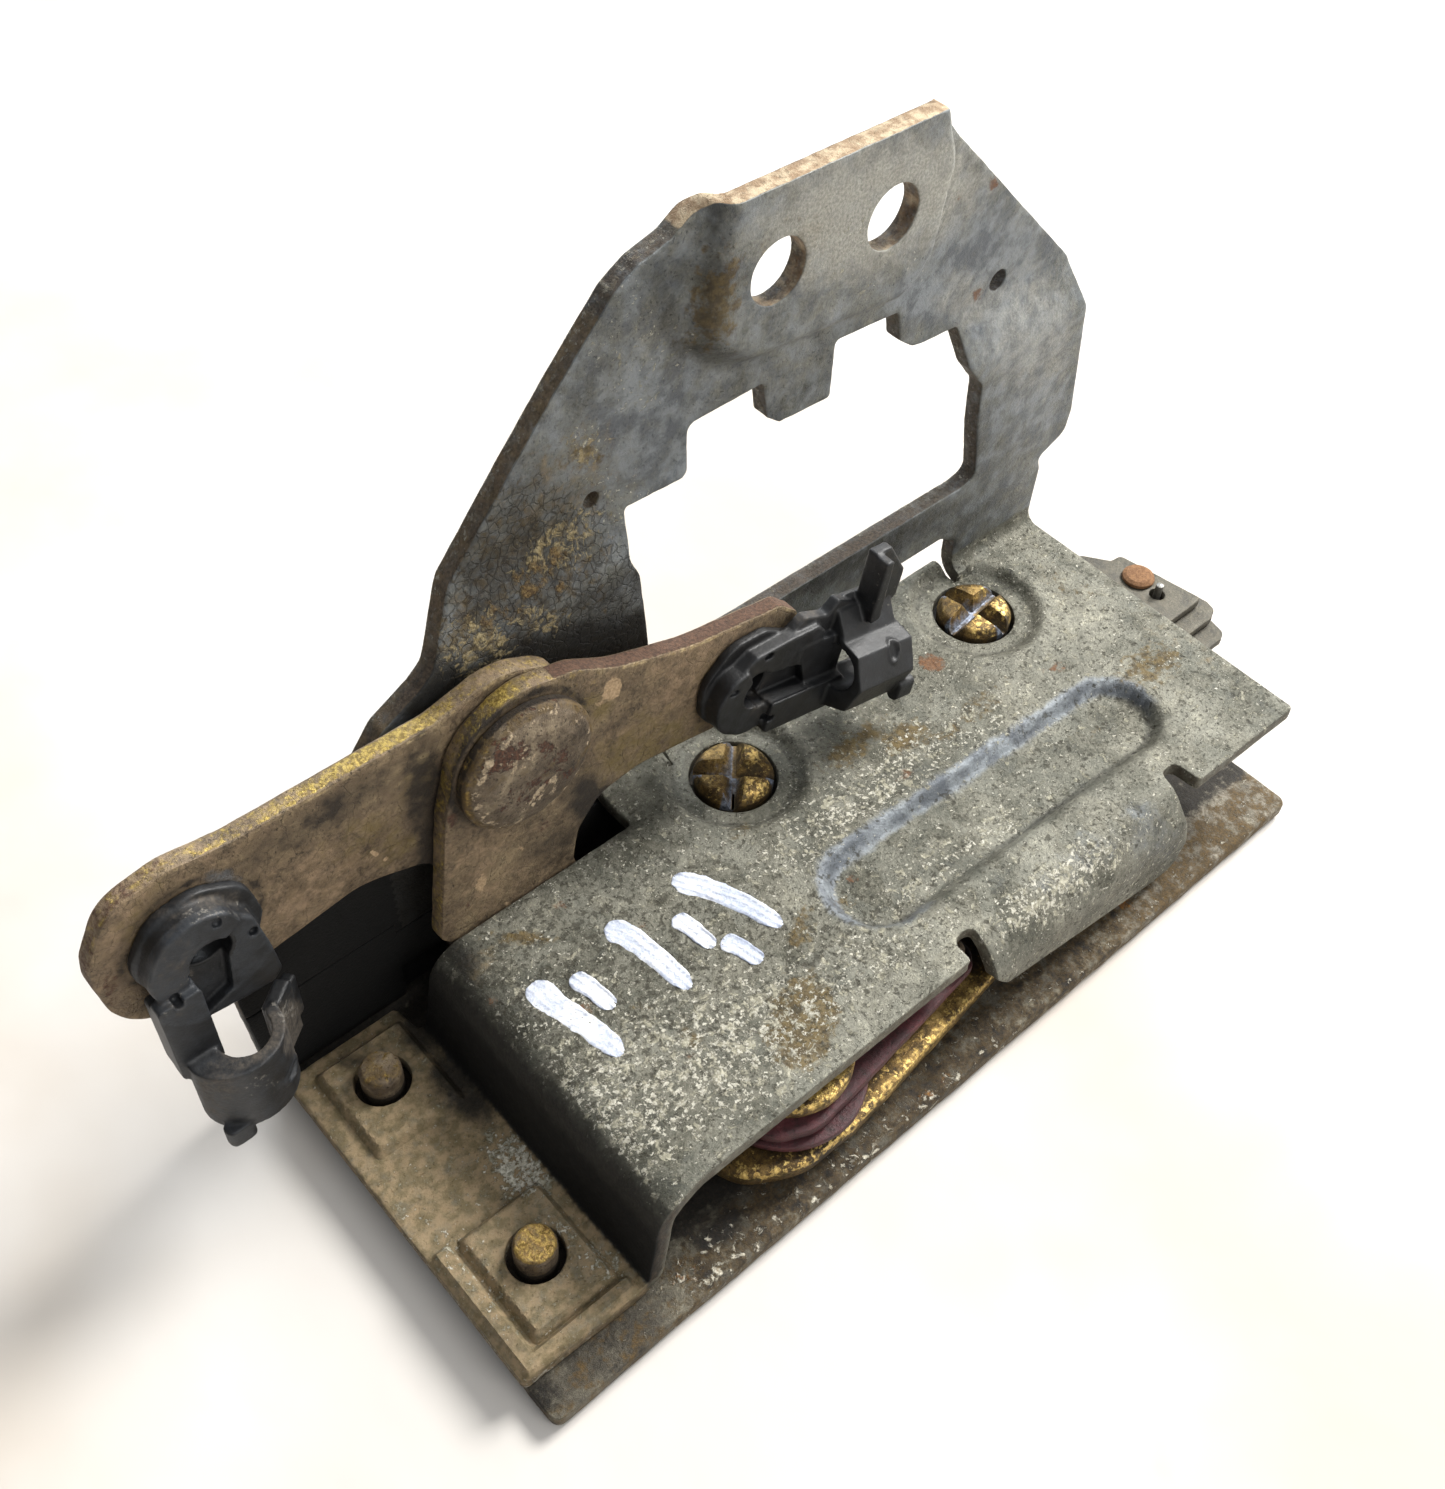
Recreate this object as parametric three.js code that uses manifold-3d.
// Vehicle door latch mechanism: a pressed-steel housing (base plate, cover plate with an upright
// bracket), two bell-crank levers on one rivet, plastic rod clips on the lever ends, and a latch
// train (link, slide, pawl, laminated fork) on posts between the plates.
//
// Millimetres, +Z up. In the drawing frame X runs along the front edge of the base plate, Y from
// the front edge towards the bracket, and Z = 0 is the top of the base plate. The exported group
// shifts that frame so that the origin is the centre of the base plate's underside.

import * as THREE from 'three';
import { mergeVertices } from 'three/addons/utils/BufferGeometryUtils.js';
import Module from 'manifold-3d';

// ---------------------------------------------------------------- driving dimensions
const BASE_L = 115;            // base plate length along X
const BASE_W = 50;             // base plate width along Y
const BASE_T = 2;              // base plate thickness
const SHEET = 2;               // cover sheet thickness
const COVER_TOP = 14;          // top face of the cover
const COVER_UNDER = COVER_TOP - SHEET;
const SEAT_GAP = 0.05;         // joint gap between stacked sheets
const RUNNING_GAP = 0.25;      // radial clearance of a part that turns on a pin

const BRKT_T = 2.3;            // bracket thickness
const BRKT_FWD = 47;           // front face of the bracket's pressed-forward areas
const BRKT_BACK = 49.5;        // front face of its main panel
const PRESS_DEPTH = BRKT_BACK - BRKT_FWD;

const PIVOT = [29.3, 35.9];    // lever rivet, x and z
const PIVOT_R = 3.9;           // its shank radius
const LEVER_T = 2.1;           // lever thickness
const LOCK_Y = 41.5;           // front face of the lock lever
const RELEASE_Y = 43.8;        // front face of the release lever

const CLIP_HOLE_R = 3.3;
// place: centre in x and z; degrees: direction of the clip arm, from +X towards +Z
const RELEASE_CLIP = { place: [-4.4, 35.6], degrees: -90, leverFront: RELEASE_Y };
const LOCK_CLIP = { place: [58.0, 27.8], degrees: -8, leverFront: LOCK_Y };

// places on the base plate, x and y
const PAWL_POST = [56.7, 39.7];
const FORK_POST = [97.3, 40.0];
const LINK_PIN = [38.5, 11.2];
const FLANGE_POSTS = [[7.1, 38.3], [7.8, 13.1]];
const LINK_STUD = [50.1, 23.7];
const SLIDE_STUD = [60.2, 8.3];
const FORK_SPRING_HOLE = [122.0, 29.3];
const FORK_RIVETS = [[122.3, 32.8], [113.4, 34.6], [84.6, 26.6]];
const POST_R = 4.0;            // bearing radius of the pawl and fork posts
const LINK_PIN_R = 2.5;

// bottom and top of the flat parts
const LINK_Z = [2.6, 5.0];
const DISC_Z = [5.5, 6.5];
const SLIDE_Z = [7.0, 8.4];
const CAP_Z = [9.1, 10.7];
const PAWL_Z = [5.6, 9.0];

// ---------------------------------------------------------------- outlines
const radians = (degrees) => (degrees * Math.PI) / 180;
const point = (x, y) => new THREE.Vector2(x, y);

// closed outline from rows [x, y, corner radius]; a rounded corner becomes an arc in `steps` steps
function outline(rows, steps = 4) {
  const points = [];
  rows.forEach(([x, y, radius = 0], i) => {
    const corner = point(x, y);
    if (!radius) {
      points.push(corner);
      return;
    }
    const before = point(...rows.at(i - 1)).sub(corner);
    const after = point(...rows[(i + 1) % rows.length]).sub(corner);
    const shortest = Math.min(before.length(), after.length());
    before.normalize();
    after.normalize();
    const halfAngle = Math.acos(Math.max(-1, Math.min(1, before.dot(after)))) / 2;
    // the arc may use just under half of either edge
    const setback = Math.min(radius / Math.tan(halfAngle), shortest * 0.49);
    const arcRadius = setback * Math.tan(halfAngle);
    const center = before.clone().add(after).normalize()
      .multiplyScalar(arcRadius / Math.sin(halfAngle)).add(corner);
    const start = before.clone().multiplyScalar(setback).add(corner).sub(center);
    const end = after.clone().multiplyScalar(setback).add(corner).sub(center);
    const from = Math.atan2(start.y, start.x);
    let sweep = Math.atan2(end.y, end.x) - from;
    while (sweep > Math.PI) sweep -= 2 * Math.PI;
    while (sweep < -Math.PI) sweep += 2 * Math.PI;
    for (let k = 0; k <= steps; k++) {
      const angle = from + (sweep * k) / steps;
      points.push(point(
        center.x + arcRadius * Math.cos(angle),
        center.y + arcRadius * Math.sin(angle),
      ));
    }
  });
  return points;
}

// arc with both end points, angles in degrees
function arc([x, y], radius, steps, from, to) {
  return Array.from({ length: steps + 1 }, (_, k) => {
    const angle = radians(from + ((to - from) * k) / steps);
    return point(x + radius * Math.cos(angle), y + radius * Math.sin(angle));
  });
}

const circle = (center, radius, steps) => arc(center, radius, steps, 0, 360).slice(0, -1);

// slot outline around the line from start to end, each end in `steps` steps
function obround(start, end, radius, steps) {
  const angle = (Math.atan2(end[1] - start[1], end[0] - start[0]) * 180) / Math.PI;
  return [
    ...arc(end, radius, steps, angle - 90, angle + 90),
    ...arc(start, radius, steps, angle + 90, angle + 270),
  ];
}

// ---------------------------------------------------------------- extruded and turned shapes
function extrude(points, depth, holes = []) {
  const shape = new THREE.Shape(points);
  shape.holes.push(...holes.map((hole) => new THREE.Path(hole)));
  return new THREE.ExtrudeGeometry(shape, { depth, bevelEnabled: false });
}

// plate lying flat: outline in XY, from z0 to z1
const flat = (points, z0, z1, holes) => extrude(points, z1 - z0, holes).translate(0, 0, z0);

// plate standing up: outline in XZ, front face at y0, back face at y1
const upright = (points, y0, y1, holes) =>
  extrude(points, y1 - y0, holes).rotateX(Math.PI / 2).translate(0, y1, 0);

// prism along X: outline in YZ, from x0 to x1
const along = (points, x0, x1) =>
  extrude(points, x1 - x0).rotateX(Math.PI / 2).rotateZ(Math.PI / 2).translate(x0, 0, 0);

const lathe = (profile, segments) =>
  new THREE.LatheGeometry(profile.map((row) => point(...row)), segments);

// turned about +Z at x, y; profile rows are [radius, z]
const turned = ([x, y], profile, segments) =>
  lathe(profile, segments).rotateX(Math.PI / 2).translate(x, y, 0);

// turned about -Y at x, z; profile rows are [radius, distance in front of y0]
const turnedForward = ([x, z], y0, profile, segments) =>
  lathe(profile, segments).rotateX(Math.PI).translate(x, y0, z);

// ---------------------------------------------------------------- solids
const wasm = await Module();
wasm.setup();

function solid(geometry) {
  const bare = geometry.index ? geometry.toNonIndexed() : geometry.clone();
  // vertices merge only where all their attributes agree
  bare.deleteAttribute('normal');
  bare.deleteAttribute('uv');
  const merged = mergeVertices(bare, 1e-4);
  return new wasm.Manifold(new wasm.Mesh({
    numProp: 3,
    vertProperties: new Float32Array(merged.attributes.position.array),
    triVerts: new Uint32Array(merged.index.array),
  }));
}

function geometryOf(manifold) {
  const mesh = manifold.getMesh();
  const geometry = new THREE.BufferGeometry();
  const positions = new Float32Array(mesh.vertProperties);
  geometry.setAttribute('position', new THREE.BufferAttribute(positions, 3));
  geometry.setIndex(new THREE.BufferAttribute(new Uint32Array(mesh.triVerts), 1));
  geometry.computeVertexNormals();
  return geometry;
}

const join = (...solids) => solids.reduce((whole, part) => whole.add(part));
const cut = (whole, ...tools) => tools.reduce((rest, tool) => rest.subtract(tool), whole);
const flatSolid = (...args) => solid(flat(...args));
const uprightSolid = (...args) => solid(upright(...args));
const alongSolid = (...args) => solid(along(...args));

// ---------------------------------------------------------------- finishes
const finish = (settings) => new THREE.MeshStandardMaterial(settings);
const BASE_STEEL = finish({ color: 0x7d7667, roughness: 0.7, metalness: 0.6 });
const ZINC = finish({ color: 0x85867a, roughness: 0.6, metalness: 0.7 });
const PASSIVATE = finish({ color: 0x8a7a4c, roughness: 0.5, metalness: 0.7 });
const GOLD = finish({ color: 0xb89a45, roughness: 0.4, metalness: 0.8 });
const RED = finish({ color: 0x8c3b40, roughness: 0.6, metalness: 0.2 });
const PLASTIC = finish({ color: 0x2b2c2f, roughness: 0.6, metalness: 0.0 });
const RIVET = finish({ color: 0x746a5c, roughness: 0.6, metalness: 0.7 });
const SPRING = finish({ color: 0x9a9a98, roughness: 0.35, metalness: 0.9 });
const DARK = finish({ color: 0x5c5850, roughness: 0.6, metalness: 0.7 });

// ---------------------------------------------------------------- base plate
function basePlate() {
  const plan = outline([
    [0, 0, 1], [BASE_L, 0, 1.2], [BASE_L, BASE_W, 2], [0, BASE_W, 2],
  ]);
  return flat(plan, -BASE_T, 0, [
    circle(PAWL_POST, 3.2, 20),
    circle(FORK_POST, 3.2, 20),
    circle(LINK_PIN, 2.2, 16),
    ...FLANGE_POSTS.map((place) => circle(place, 2.5, 16)),
  ]);
}

// ---------------------------------------------------------------- cover plate
// side section of the sheet, [x, z]: flange, riser and top
const SHEET_SECTION = outline([
  [-0.4, SEAT_GAP], [15.3, SEAT_GAP], [16.2, 0.9], [16.6, 2.4], [17.7, 9.8], [18.5, 11.3],
  [20.2, COVER_UNDER], [BASE_L, COVER_UNDER], [BASE_L, COVER_TOP],
  [19.4, COVER_TOP], [17.6, 13.3], [16.2, 11.6], [15.6, 9.9], [14.5, 3.0], [14.0, 2.3],
  [13.3, SEAT_GAP + SHEET], [-0.4, SEAT_GAP + SHEET],
]);

// plan of the sheet, [x, y, corner radius]
const SHEET_PLAN = outline([
  [-0.4, 4.2, 0.8], [14.4, 3.9], [19, 4.6], [22, 5.0], [59.0, 5.0, 0.5], [59.2, 8.0, 1.2],
  [62.0, 8.0, 1.2], [62.2, 6.8], [94.2, 6.8], [94.4, 8.2, 1], [96.9, 8.2, 1], [97.2, 4.6, 0.6],
  [BASE_L, 4.4, 0.6], [BASE_L, 49.3], [42.9, 49.3], [42.9, 41.2, 0.6], [17.0, 41.2, 0.5],
  [13.6, 41.2, 1], [13.2, 45.2, 0.6], [-0.4, 45.2, 1],
]);

// front tab folded down from the top: section [y, z, corner radius], face [x, z, corner radius]
const TAB_SECTION = outline([
  [9.5, COVER_TOP], [9.5, COVER_UNDER], [7.6, COVER_UNDER, 1.8], [4.9, 9.4, 1.6], [4.4, 1.0],
  [2.4, 1.0], [2.9, 9.9, 4.2], [6.2, COVER_TOP, 4.2],
], 5);
const TAB_FACE = outline([
  [62.0, 14.6], [62.0, 9.2, 1.2], [64.0, 6.9, 1.6], [90.5, 1.9, 1.6], [94.2, 1.9, 2.2],
  [95.9, 5.0, 2], [94.4, 10.5, 1.5], [94.4, 14.6],
]);

// Recesses pressed into the top keep the sheet thickness: a boss hangs below the sheet up to
// BOSS_TOP, inside the sheet, and a smaller pocket is cut from above.
const BOSS_TOP = 12.5;
const ABOVE_COVER = 15;
const BEAD = [[58.2, 18.4], [97.0, 17.2]]; // ends of the bead's centre line, x and y
const BEAD_UNDER = 10.8;
const DISH_UNDER = 11;                     // underside of the round dishes at the two posts

function pressTop(sheet) {
  const posts = [PAWL_POST, FORK_POST];
  const bosses = [
    flatSolid(obround(...BEAD, 6.4, 8), BEAD_UNDER, BOSS_TOP),
    ...posts.map((post) => flatSolid(circle(post, 9.2, 20), DISH_UNDER, BOSS_TOP)),
  ];
  const pockets = [
    flatSolid(obround(...BEAD, 5.0, 8), BEAD_UNDER + SHEET, ABOVE_COVER),
    ...posts.flatMap((post) => [
      flatSolid(circle(post, 8.0, 20), DISH_UNDER + SHEET, ABOVE_COVER),
      flatSolid(circle(post, 5.1, 20), 9, ABOVE_COVER),
    ]),
  ];
  return cut(join(sheet, ...bosses), ...pockets);
}

// raised pads on the flange, hollow below, and two ribs along the flange edges
const FLANGE_PADS = [
  { x: [2.3, 12.4], y: [31.8, 43.2] },
  { x: [3.0, 12.4], y: [6.6, 19.0] },
];
const FLANGE_RIBS = [
  { x: [0.2, 1.9], y: [4.9, 19.5] },
  { x: [0.2, 13.4], y: [4.3, 5.9] },
];
const PAD_TOP = 3.2;
const PAD_WALL = 1;

function block({ x: [x0, x1], y: [y0, y1] }, z0, z1, radius) {
  const plan = [[x0, y0, radius], [x1, y0, radius], [x1, y1, radius], [x0, y1, radius]];
  return flatSolid(outline(plan, 2), z0, z1);
}

function pressFlange(sheet) {
  const inset = ([low, high]) => [low + PAD_WALL, high - PAD_WALL];
  const raised = join(
    sheet,
    ...FLANGE_PADS.map((pad) => block(pad, 1, PAD_TOP, 0.6)),
    ...FLANGE_RIBS.map((rib) => block(rib, 1, 3.0, 0.3)),
  );
  return cut(
    raised,
    ...FLANGE_PADS.map(({ x, y }) =>
      block({ x: inset(x), y: inset(y) }, -1, PAD_TOP - SHEET, 0.6)),
    ...FLANGE_POSTS.map((post) => flatSolid(circle(post, 3.0, 16), -1, 5)),
  );
}

function coverPlate() {
  const sheet = uprightSolid(SHEET_SECTION, 2, 50).intersect(flatSolid(SHEET_PLAN, -1, 15));
  const tab = alongSolid(TAB_SECTION, 61, 97).intersect(uprightSolid(TAB_FACE, 0, 12));
  return geometryOf(join(pressFlange(pressTop(sheet.add(tab))), bracket()));
}

// ---------------------------------------------------------------- upright bracket
// The main panel stands back; sloping ramps lead down to the pressed-forward legs and rail. The
// left leg widens below the levers into a wall behind the flange.
const RAMP_TOP = 53;
const RAMP_BOTTOM = 46.5;
const LEFT_RAMP = { bottom: [24.4, 47.6], top: [28.4, 48.4] };   // left and right edge, x
const RIGHT_RAMP = { bottom: [96.4, 116.4], top: [95.5, 113.6] };
const THROUGH_BRACKET = [40, 56]; // y range of the tools that cut right through

// front views, [x, z, corner radius]
const PANEL = outline([
  [LEFT_RAMP.top[0], RAMP_TOP], [34.7, 60.8, 4], [41.6, 69.0, 6], [47.6, 75.6, 3],
  [50.5, 77.4, 2], [54.0, 78.4, 2], [58.0, 81.0, 1], [85.6, 81.0, 1], [90.5, 75.6, 2],
  [RIGHT_RAMP.top[1], RAMP_TOP], [RIGHT_RAMP.top[0], RAMP_TOP], [95.2, 51.6],
  [88.4, 51.9, 0.6], [86.4, 53.4, 0.6], [85.6, 57.4], [76.3, 58.0], [76.4, 50.9],
  [69.2, 51.2, 0.6], [67.4, 52.6, 0.6], [66.6, 57.4], [56.6, 57.1], [56.8, 51.3],
  [48.4, 51.5], [LEFT_RAMP.top[1], RAMP_TOP],
], 3);
const LEGS_AND_RAIL = outline([
  [LEFT_RAMP.bottom[0], RAMP_BOTTOM], [22.6, 45.0, 1], [18.3, 42.6, 1.5], [15.2, 38.6, 2],
  [-2.4, 25.0, 3], [-0.8, SEAT_GAP], [15.8, SEAT_GAP], [15.8, 5.5], [32.8, 5.5],
  [32.8, SEAT_GAP], [47.0, SEAT_GAP], [47.0, 12.0], [BASE_L - 0.02, 12.0],
  [BASE_L, 22.6, 0.6], [114.2, 24.6, 1], [118.6, 26.6, 1.8], [118.9, 30.0, 2],
  [RIGHT_RAMP.bottom[1], RAMP_BOTTOM], [RIGHT_RAMP.bottom[0], RAMP_BOTTOM], [99.2, 43.0, 2],
  [99.9, 36.3, 2], [101.6, 28.4, 2], [99.0, 27.7, 1], [50.6, 27.7, 3], [49.9, 34.7, 3],
  [48.8, 44.0, 2], [LEFT_RAMP.bottom[1], RAMP_BOTTOM],
], 3);
const RAIL_WINDOW = outline([
  [52.5, 14.3, 1], [99.6, 14.3, 1], [100.6, 18.5, 2], [97.0, 20.6, 2], [53.0, 20.6, 2],
], 3);
const DISH_FACE = outline([
  [60.5, 84], [58.5, 77, 3], [57.5, 67, 4], [62.5, 64.2, 3], [83.5, 62.2, 2.5],
  [86.2, 66, 3], [87.6, 75, 2], [83.2, 84],
], 3);
const DISH_LIMIT = outline([[50, 50], [95, 50], [95, 71.0], [85.6, 81], [58, 81], [50, 75.8]]);

// slopes from the main panel at RAMP_TOP to the forward plane at RAMP_BOTTOM
function ramp({ bottom, top }) {
  const face = outline([
    [bottom[0], RAMP_BOTTOM], [bottom[1], RAMP_BOTTOM], [top[1], RAMP_TOP], [top[0], RAMP_TOP],
  ]);
  const geometry = upright(face, BRKT_BACK, BRKT_BACK + BRKT_T);
  const position = geometry.attributes.position;
  for (let i = 0; i < position.count; i++) {
    const fraction = (RAMP_TOP - position.getZ(i)) / (RAMP_TOP - RAMP_BOTTOM);
    position.setY(i, position.getY(i) - PRESS_DEPTH * fraction);
  }
  return solid(geometry);
}

// block with chamfered sides, its narrow front face `shift` behind the forward plane
function dishBlock(shift) {
  const depth = 4; // between the chamfers
  const geometry = new THREE.ExtrudeGeometry(new THREE.Shape(DISH_FACE), {
    depth,
    bevelEnabled: true,
    bevelThickness: PRESS_DEPTH,
    bevelSize: 3.2,
    bevelSegments: 1,
  });
  geometry.rotateX(Math.PI / 2);
  geometry.translate(0, BRKT_FWD + PRESS_DEPTH + depth + shift, 0);
  return solid(geometry);
}

function bracket() {
  const panelHoles = [circle([44.8, 54.2], 0.9, 10), circle([101.5, 54.6], 1.3, 12)];
  const lower = cut(
    uprightSolid(LEGS_AND_RAIL, BRKT_FWD, BRKT_FWD + BRKT_T),
    uprightSolid(RAIL_WINDOW, ...THROUGH_BRACKET),
    uprightSolid(circle(PIVOT, 4.3, 18), ...THROUGH_BRACKET),
  );
  const dishLimit = uprightSolid(DISH_LIMIT, 44, BRKT_BACK + BRKT_T);
  const whole = join(
    uprightSolid(PANEL, BRKT_BACK, BRKT_BACK + BRKT_T, panelHoles),
    ramp(LEFT_RAMP),
    ramp(RIGHT_RAMP),
    lower,
    dishBlock(0).intersect(dishLimit),
  );
  return cut(
    whole,
    dishBlock(BRKT_T), // hollows the dish from behind
    uprightSolid(circle([64.8, 72.1], 3.4, 18), ...THROUGH_BRACKET),
    uprightSolid(circle([79.6, 72.0], 3.4, 18), ...THROUGH_BRACKET),
  );
}

// ---------------------------------------------------------------- posts and pins
const flangePost = (place) => turned(place, [
  [0, -BASE_T], [2.25, -BASE_T], [2.25, 0.06], [3.5, 0.06], [3.5, 1.05], [2.25, 1.05],
  [2.25, 5.3], [1.9, 5.8], [0, 5.8],
], 16);

// post with two crossed slots in its top, the first turned `degrees` from +X
function crossPost([x, y], degrees) {
  const shaft = solid(turned([x, y], [
    [0, -BASE_T], [3.0, -BASE_T], [3.0, SEAT_GAP], [6.0, SEAT_GAP], [6.0, 0.55],
    [POST_R, 0.55], [POST_R, 10.9], [4.6, 11.2], [4.6, 14.0], [4.1, 14.5], [0, 14.5],
  ], 20));
  const slot = (angle) =>
    solid(new THREE.BoxGeometry(12, 1.9, 2.4).rotateZ(radians(angle)).translate(x, y, 14.0));
  return geometryOf(cut(shaft, slot(degrees), slot(degrees + 90)));
}

const linkPin = () => turned(LINK_PIN, [
  [0, -BASE_T], [2.05, -BASE_T], [2.05, SEAT_GAP], [LINK_PIN_R, SEAT_GAP], [LINK_PIN_R, 10.8],
  [3.8, 10.8], [3.8, 11.3], [3.2, 11.6], [0, 11.6],
], 16);

// ---------------------------------------------------------------- levers on the pivot rivet
const pivotRivet = () => turnedForward(PIVOT, 51.2, [
  [0, 0], [5.6, 0], [6.2, 0.5], [6.2, 1.7], [PIVOT_R, 1.75], [PIVOT_R, 9.8],
  [7.5, 9.8], [7.5, 11.4], [6.6, 12.1], [0, 12.3],
], 24);

const pivotSpacer = () => upright(circle(PIVOT, 7.2, 20), 46.0, 46.9, [circle(PIVOT, 4.1, 16)]);

// lever outlines, [x, z, corner radius]
const LOCK_LEVER = outline([
  [66.7, 31.7, 2.2], [63.9, 34.4, 2.5], [50.8, 36.8, 20], [41.7, 40.0, 14], [36.4, 43.2, 4],
  [29.3, 45.0, 7], [22.8, 41.6, 7], [20.4, 33.0, 8], [18.1, 14.6, 1.5], [20.0, 12.4, 1],
  [30.6, 12.2, 1], [31.5, 10.4], [31.5, 6.0, 0.6], [36.0, 6.0, 0.6], [36.0, 10.4],
  [35.3, 14.4], [36.0, 18.6, 3], [38.9, 22.3, 4], [44.3, 23.0, 5], [61.6, 19.8, 2],
  [65.8, 20.4, 2.4],
], 2);
const RELEASE_LEVER = outline([
  [36.6, 42.2, 6], [29.3, 45.8, 8], [22.0, 43.9, 8], [1.0, 44.0, 10], [-5.0, 45.0, 6],
  [-10.6, 43.9, 5], [-13.9, 37.8, 7], [-13.0, 29.6, 7], [-6.4, 24.0, 6], [1.5, 26.3, 8],
  [12.0, 27.9, 8], [20.0, 24.8, 4], [21.6, 14.0, 2], [24.0, 11.0, 1], [24.0, 2.4, 0.6],
  [28.5, 2.4, 0.6], [28.5, 11.4, 2], [30.6, 20.0, 5], [37.2, 28.5, 6],
], 2);

const lever = (face, { place, leverFront }) => upright(face, leverFront, leverFront + LEVER_T, [
  circle(PIVOT, PIVOT_R + RUNNING_GAP, 20),
  circle(place, CLIP_HOLE_R, 16),
]);

// ---------------------------------------------------------------- rod clips
// Drawn with the bore on the origin, the arm along +X and the lever's front face at y = 0:
// a head in front of the lever, a bush through it, an arm and an open channel.
const CHANNEL_Y = -4.6; // centre of the channel's section

function rodClip({ place: [x, z], degrees, leverFront }) {
  const head = uprightSolid(outline([
    [-4.2, -4.4, 2], [0, -6.1, 4], [5.2, -6.0, 2], [11.8, -6.0, 1], [11.8, -2.4, 1],
    [7.6, -1.6, 2], [7.8, 4.9, 2.2], [4.2, 6.0, 3], [-3.4, 5.6, 4], [-6.1, 0.5, 4],
  ]), -2.4, -0.1);
  const bush = solid(turnedForward([0, 0], LEVER_T + 1.3, [
    [0, 0], [CLIP_HOLE_R, 0], [3.9, 0.5], [3.9, 1.2], [3.0, 1.2], [3.0, 4.0], [0, 4.0],
  ], 16));
  const groove = uprightSolid(
    outline([[-0.4, -1.8], [9, -1.8], [9, 1.8], [-0.4, 1.8]]), -3, -1.5);
  const arm = uprightSolid(
    outline([[3.0, -5.6], [14.0, -5.6], [14.0, -2.7], [3.0, -2.7]]), -6.2, -0.9);
  const channelWall = (radius) => arc([CHANNEL_Y, 0], radius, 10, 100, 315);
  const channel = alongSolid([...channelWall(4.2), ...channelWall(2.5).reverse()], 11.2, 24.2);
  const lip = alongSolid(outline([
    [CHANNEL_Y - 0.6, 3.4], [CHANNEL_Y + 1.0, 2.9], [CHANNEL_Y + 3.2, 5.6],
    [CHANNEL_Y + 2.2, 6.6],
  ]), 12.2, 23.2);
  const toe = alongSolid(outline([
    [CHANNEL_Y - 3.6, -5.6, 0.6], [CHANNEL_Y - 1.8, -5.6, 0.6],
    [CHANNEL_Y - 1.6, -1.6], [CHANNEL_Y - 3.6, -1.6],
  ], 3), 22.0, 25.6);
  const bore = uprightSolid(circle([0, 0], 2.1, 20), -6, 8);
  const clip = cut(join(cut(join(head, bush), groove), arm, channel, lip, toe), bore);
  return geometryOf(clip).rotateY(-radians(degrees)).translate(x, leverFront, z);
}

// ---------------------------------------------------------------- link and slide
// outlines, [x, y, corner radius]
const LINK = outline([
  [26.2, 9.0, 5], [27.6, 5.2, 6], [33.1, 2.2, 8], [40.5, 2.0, 6], [47.6, 2.8, 10],
  [63.0, 4.8], [73.4, 6.2, 3], [77.0, 9.6, 3], [74.6, 13.6, 3], [55.6, 15.2, 4],
  [53.0, 19.8, 3], [53.8, 24.8, 3], [50.2, 27.4, 3], [46.0, 24.9, 3], [43.4, 20.4, 3],
  [36.4, 22.0, 4], [32.2, 38.0, 3], [31.6, 47.4, 1], [28.8, 47.4, 0.5], [28.8, 43.0],
  [23.7, 43.0], [23.7, 47.4, 0.5], [21.3, 47.4, 0.8], [21.5, 38.0, 3], [24.4, 22.0, 6],
], 2);
const SLIDE = outline([
  [30.0, 8.6, 4], [31.2, 4.4, 4], [36.0, 2.3, 6], [43.5, 3.2, 8], [61.8, 5.9, 1],
  [63.4, 8.0, 2], [63.0, 15.6, 2], [44.0, 16.8, 3], [37.4, 19.0, 3], [36.6, 36.0, 2],
  [38.4, 38.8, 1], [38.4, 43.3, 0.6], [36.3, 43.3], [36.3, 41.1], [31.2, 41.1],
  [31.2, 43.3], [29.4, 43.3, 0.6], [29.4, 39.0, 1], [31.2, 36.0, 2], [30.6, 18.0, 3],
], 2);
const SLIDE_TRAVEL = 5.1; // length of the slot's centre line

const releaseLink = () => flat(LINK, ...LINK_Z, [
  circle(LINK_PIN, LINK_PIN_R + RUNNING_GAP, 14),
  circle(LINK_STUD, 1.25, 10),
]);
const lockSlide = () => flat(SLIDE, ...SLIDE_Z, [
  obround([LINK_PIN[0] - SLIDE_TRAVEL, LINK_PIN[1]], LINK_PIN, LINK_PIN_R + RUNNING_GAP, 8),
  circle(SLIDE_STUD, 1.0, 12),
]);
const linkStud = () => turned(LINK_STUD, [
  [0, 2.7], [1.1, 2.7], [1.1, 5.15], [1.6, 5.15], [1.6, 8.6], [1.3, 8.8], [0, 8.8],
], 12);
const slideStud = () => turned(SLIDE_STUD, [
  [0, 7.1], [0.85, 7.1], [0.85, 8.5], [1.35, 8.5], [1.35, 11.0], [1.1, 11.3], [0, 11.3],
], 12);
const linkWasher = (radius, heights) =>
  flat(circle(LINK_PIN, radius, 20), ...heights, [circle(LINK_PIN, 2.7, 14)]);

// ---------------------------------------------------------------- pawl and fork
// outline row given by its distance and direction from the fork post
const aroundFork = (distance, degrees, cornerRadius) => [
  FORK_POST[0] + distance * Math.cos(radians(degrees)),
  FORK_POST[1] + distance * Math.sin(radians(degrees)),
  cornerRadius,
];

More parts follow.
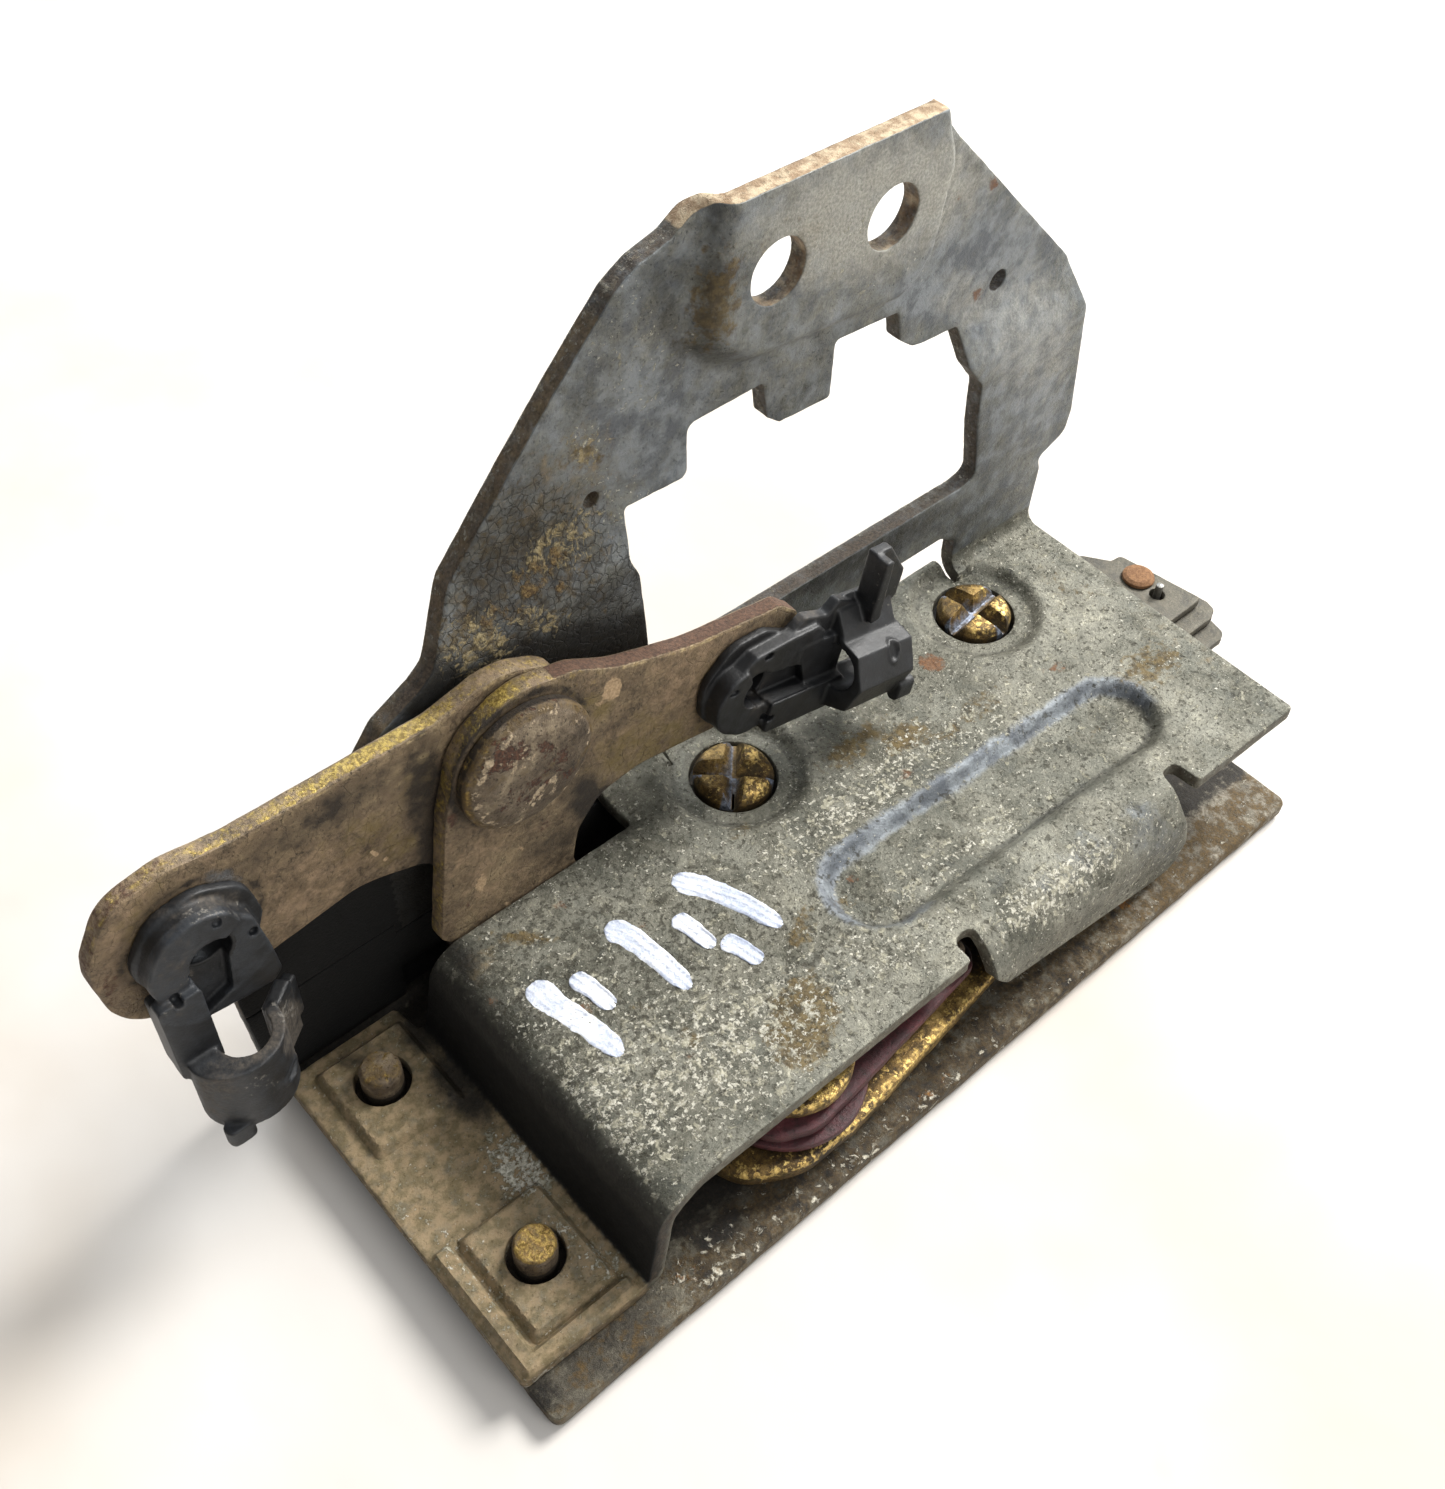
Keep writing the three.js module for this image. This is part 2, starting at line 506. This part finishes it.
const PAWL = outline([
  [64.0, 36.2, 2], [72.6, 32.2, 4], [79.2, 25.6, 2], aroundFork(22.7, 231, 0.6),
  aroundFork(22.7, 238, 0.6), [83.4, 16.9, 1.5], [78.6, 16.6, 3], [66.0, 27.6, 6],
  [60.5, 31.6, 5], [54.0, 31.2, 3], [49.4, 26.2, 1], [46.5, 22.0, 0.8], [44.8, 23.6, 0.8],
  [45.6, 27.4, 3], [49.0, 33.8, 3], [48.9, 44.5, 5], [56.7, 47.9, 6], [64.2, 45.0, 6],
], 2);
const pawl = () => flat(PAWL, ...PAWL_Z, [circle(PAWL_POST, POST_R + RUNNING_GAP, 18)]);

// laminations, bottom to top; rightEnd rows are [x, y, corner radius]
const FORK_PLATES = [
  {
    name: 'bottom',
    heights: [5.3, 6.5],
    rightEnd: [
      [108.6, 20.0, 1.5], [124.8, 20.0, 0.6], [126.1, 20.6, 1], [127.0, 24.4, 1.2],
      [125.0, 38.0, 1.0], [122.6, 40.6, 1.5],
    ],
  },
  {
    name: 'middle',
    heights: [6.7, 7.9],
    rightEnd: [
      [108.2, 22.6, 1.0], [125.6, 22.6, 0.5], [127.2, 23.4, 0.8], [127.6, 24.9, 1.0],
      [125.4, 37.6, 0.8], [123.4, 37.8, 0.4], [121.6, 40.6, 1.5],
    ],
  },
  {
    name: 'top',
    heights: [8.1, 9.3],
    rightEnd: [
      [107.8, 25.0, 1.0], [124.9, 25.0, 0.3], [126.1, 25.1, 0.8],
      [124.0, 37.1, 0.8], [122.2, 37.3, 0.4], [119.9, 40.4, 1.5],
    ],
  },
];
const FORK_RIM = 22; // rim radius about the fork post, broken by one notch

function forkPlate({ heights, rightEnd }) {
  const plan = outline([
    aroundFork(10, 60, 2), aroundFork(10, 120, 4), aroundFork(11, 168, 3),
    aroundFork(FORK_RIM, 196, 1),
    ...arc(FORK_POST, FORK_RIM, 3, 200, 205.5),
    aroundFork(18.2, 206.5, 0.6), aroundFork(18.2, 214.5, 0.6),
    ...arc(FORK_POST, FORK_RIM, 6, 215.5, 246),
    aroundFork(FORK_RIM, 250, 1),
    [95.6, 26.6, 3], [98.0, 31.6, 3], [104.4, 31.4, 3], [106.8, 27.0, 2],
    ...rightEnd,
    [113.0, 44.0, 5],
  ], 2);
  return flat(plan, ...heights, [
    circle(FORK_POST, POST_R + RUNNING_GAP, 18),
    ...FORK_RIVETS.map((place) => circle(place, 1.8, 10)),
    circle(FORK_SPRING_HOLE, 1.0, 8),
  ]);
}

const forkRivet = (place) => turned(place, [
  [0, 4.5], [2.1, 4.5], [2.4, 4.8], [2.4, 5.2], [1.6, 5.2], [1.6, 9.4], [2.2, 9.4],
  [2.1, 9.8], [1.6, 10.1], [0, 10.2],
], 12);

// ---------------------------------------------------------------- springs
// start and end are the tails before and after the coil, [x, y, z]; from is in degrees
const FORK_SPRING = {
  center: FORK_POST, radius: 6.9, heights: [1.3, 4.0], turns: 2, from: 180,
  wireRadius: 0.5, steps: 56,
  start: [[91.8, 46.6, 1.3], [90.4, 43.4, 1.3]],
  end: [
    [92.4, 34.6, 4.1], [104.0, 29.0, 4.1], [119.4, 28.9, 4.1], [121.7, 29.2, 4.6],
    ...[6.2, 8.2, 10.9].map((z) => [...FORK_SPRING_HOLE, z]),
  ],
};
const PAWL_SPRING = {
  center: PAWL_POST, radius: 6.9, heights: [1.3, 4.4], turns: 2, from: 180,
  wireRadius: 0.5, steps: 50,
  start: [[50.4, 46.4, 1.3], [49.6, 43.2, 1.3]],
  end: [[53.0, 33.4, 4.5], [60.0, 29.4, 4.5], [68.0, 27.6, 4.6]],
};
const LINK_SPRING = {
  center: LINK_PIN, radius: 4.6, heights: [0.75, 2.0], turns: 1, from: 200,
  wireRadius: 0.45, steps: 34,
  start: [[35.2, 18.6, 0.75], [33.6, 13.2, 0.75]],
  end: [[36.0, 7.4, 2.0], [44.0, 6.6, 2.0], [52.0, 8.4, 2.0]],
};

function spring({ center, radius, heights: [z0, z1], turns, from, wireRadius, steps, start, end }) {
  const count = turns * 10;
  const coil = arc(center, radius, count, from, from + 360 * turns)
    .map(({ x, y }, k) => [x, y, z0 + ((z1 - z0) * k) / count]);
  const points = [...start, ...coil, ...end].map((row) => new THREE.Vector3(...row));
  const extrudePath = new THREE.CatmullRomCurve3(points, false, 'catmullrom', 0.5);
  const section = new THREE.Shape(circle([0, 0], wireRadius, 5));
  return new THREE.ExtrudeGeometry(section, { steps, extrudePath, bevelEnabled: false });
}

// ---------------------------------------------------------------- assembly
const latch = new THREE.Group();
const body = new THREE.Group();
body.position.set(-BASE_L / 2, -BASE_W / 2, BASE_T);
latch.add(body);

function piece(name, geometry, material) {
  const mesh = new THREE.Mesh(geometry, material);
  mesh.name = name;
  body.add(mesh);
}

piece('base_plate', basePlate(), BASE_STEEL);
piece('cover_plate', coverPlate(), ZINC);
FLANGE_POSTS.forEach((place, i) => piece(`flange_post_${i + 1}`, flangePost(place), PASSIVATE));
piece('pawl_post', crossPost(PAWL_POST, 8), GOLD);
piece('fork_post', crossPost(FORK_POST, 14), GOLD);
piece('link_pin', linkPin(), RIVET);
piece('pivot_rivet', pivotRivet(), RIVET);
piece('pivot_spacer', pivotSpacer(), RIVET);
piece('lock_lever', lever(LOCK_LEVER, LOCK_CLIP), PASSIVATE);
piece('release_lever', lever(RELEASE_LEVER, RELEASE_CLIP), PASSIVATE);
piece('rod_clip_release', rodClip(RELEASE_CLIP), PLASTIC);
piece('rod_clip_lock', rodClip(LOCK_CLIP), PLASTIC);
piece('release_link', releaseLink(), GOLD);
piece('link_stud', linkStud(), RIVET);
piece('spacer_disc', linkWasher(9.0, DISC_Z), RED);
piece('lock_slide', lockSlide(), RED);
piece('slide_stud', slideStud(), RIVET);
piece('link_cap_washer', linkWasher(7.2, CAP_Z), GOLD);
piece('pawl', pawl(), DARK);
FORK_PLATES.forEach((plate) => piece(`fork_plate_${plate.name}`, forkPlate(plate), DARK));
FORK_RIVETS.forEach((place, i) => piece(`fork_rivet_${i + 1}`, forkRivet(place), PASSIVATE));
piece('fork_spring', spring(FORK_SPRING), SPRING);
piece('pawl_spring', spring(PAWL_SPRING), SPRING);
piece('link_spring', spring(LINK_SPRING), SPRING);

export default latch;
